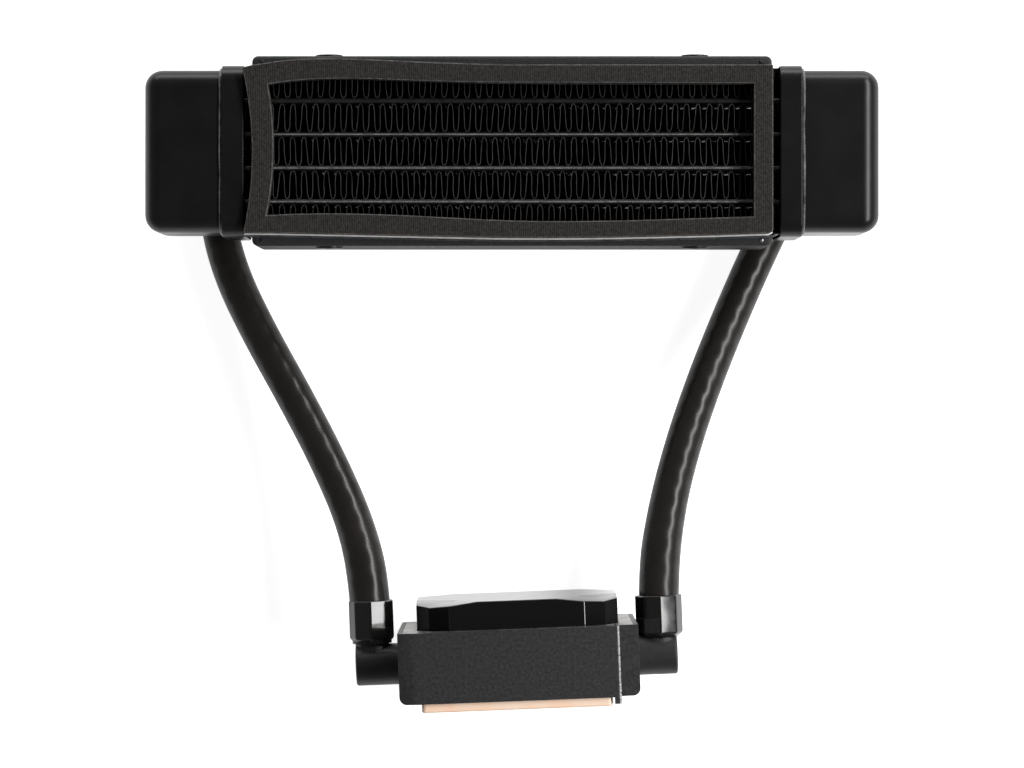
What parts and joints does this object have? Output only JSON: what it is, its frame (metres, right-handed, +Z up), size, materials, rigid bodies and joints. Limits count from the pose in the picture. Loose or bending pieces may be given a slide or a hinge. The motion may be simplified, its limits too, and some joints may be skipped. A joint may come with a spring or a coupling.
{
  "type": "all in one cpu liquid cooler",
  "caption": "Low closed-loop liquid cooler: a narrow finned radiator with end tanks and a foam gasket, joined by short hoses to a swivelling pump block with a copper cold plate.",
  "frame": {"origin": "on the surface that the cooler lies on, under the middle of its overall length and width", "axes": "+X along the radiator towards its right tank, +Y from the pump block towards the radiator, +Z up, out of the radiator's fan side"},
  "size_m": [0.168, 0.15, 0.046],
  "materials": {
    "painted_tank": "satin black paint over aluminium",
    "core_metal": "satin black coating",
    "powder_coat": "textured black powder coat",
    "plated_steel_dark": "blackened steel",
    "foam": "matt foam",
    "tape": "pale adhesive tape",
    "fitting_plastic": "satin black",
    "gloss_sleeve": "gloss black",
    "rubber": "smooth black rubber",
    "housing_plastic": "fine-textured matt black",
    "gloss_cap": "gloss black",
    "plate_metal": "plated grey",
    "plated_steel": "plated",
    "copper": "machined bare copper",
    "white_plastic": "white plastic",
    "can_plastic": "dark grey plastic",
    "magnet": "dark sintered magnet",
    "stator_steel": "stacked steel sheets",
    "winding": "enamelled copper wire",
    "board": "green circuit board"
  },
  "bodies": {
    "radiator": {"tank_left": "painted_tank", "tank_right": "painted_tank", "header_left": "painted_tank", "header_right": "painted_tank", "coolant_tube_1": "core_metal", "coolant_tube_2": "core_metal", "coolant_tube_3": "core_metal", "coolant_tube_4": "core_metal", "fin_strip_1": "core_metal", "fin_strip_2": "core_metal", "fin_strip_3": "core_metal", "fin_strip_4": "core_metal", "fin_strip_5": "core_metal", "side_bar_top": "core_metal", "side_bar_bottom": "core_metal", "side_channel_top": "powder_coat", "side_channel_bottom": "powder_coat", "channel_inserts": "plated_steel_dark", "end_rivets": "plated_steel_dark", "foam_gasket": "foam", "gasket_tape": "tape", "outlet_elbow_left": "fitting_plastic", "outlet_elbow_right": "fitting_plastic", "outlet_sleeve_left": "gloss_sleeve", "outlet_sleeve_right": "gloss_sleeve", "hose_left": "rubber", "hose_right": "rubber", "hose_sleeve_left": "gloss_sleeve", "hose_sleeve_right": "gloss_sleeve", "swivel_elbow_left": "fitting_plastic", "swivel_elbow_right": "fitting_plastic", "swivel_rings": "rubber"},
    "pump_block": {"pump_housing": "housing_plastic", "pump_cap": "gloss_cap", "retention_plate": "plate_metal", "retention_screws": "plated_steel", "cold_plate": "copper", "cold_plate_screws": "plated_steel", "cold_plate_seal": "rubber", "jet_plate": "white_plastic", "separator_can": "can_plastic", "stator_core": "stator_steel", "stator_coils": "winding", "circuit_board": "board", "pump_shaft": "plated_steel", "cable_grommet": "rubber"},
    "rotor": {"rotor_bush": "can_plastic", "impeller": "white_plastic", "rotor_magnet": "magnet"}
  },
  "joints": [
    {"name": "block_swivel", "type": "hinge", "parent": "radiator", "child": "pump_block", "pos_m": [0.0016, -0.06424, 0.023], "axis": [0.9993, 0.0384, 0], "range_deg": [-95, 95]},
    {"name": "rotor_spin", "type": "hinge", "parent": "pump_block", "child": "rotor", "pos_m": [0.0016, -0.06424, 0.023], "axis": [-0.0384, 0.9993, 0], "continuous": true}
  ]
}
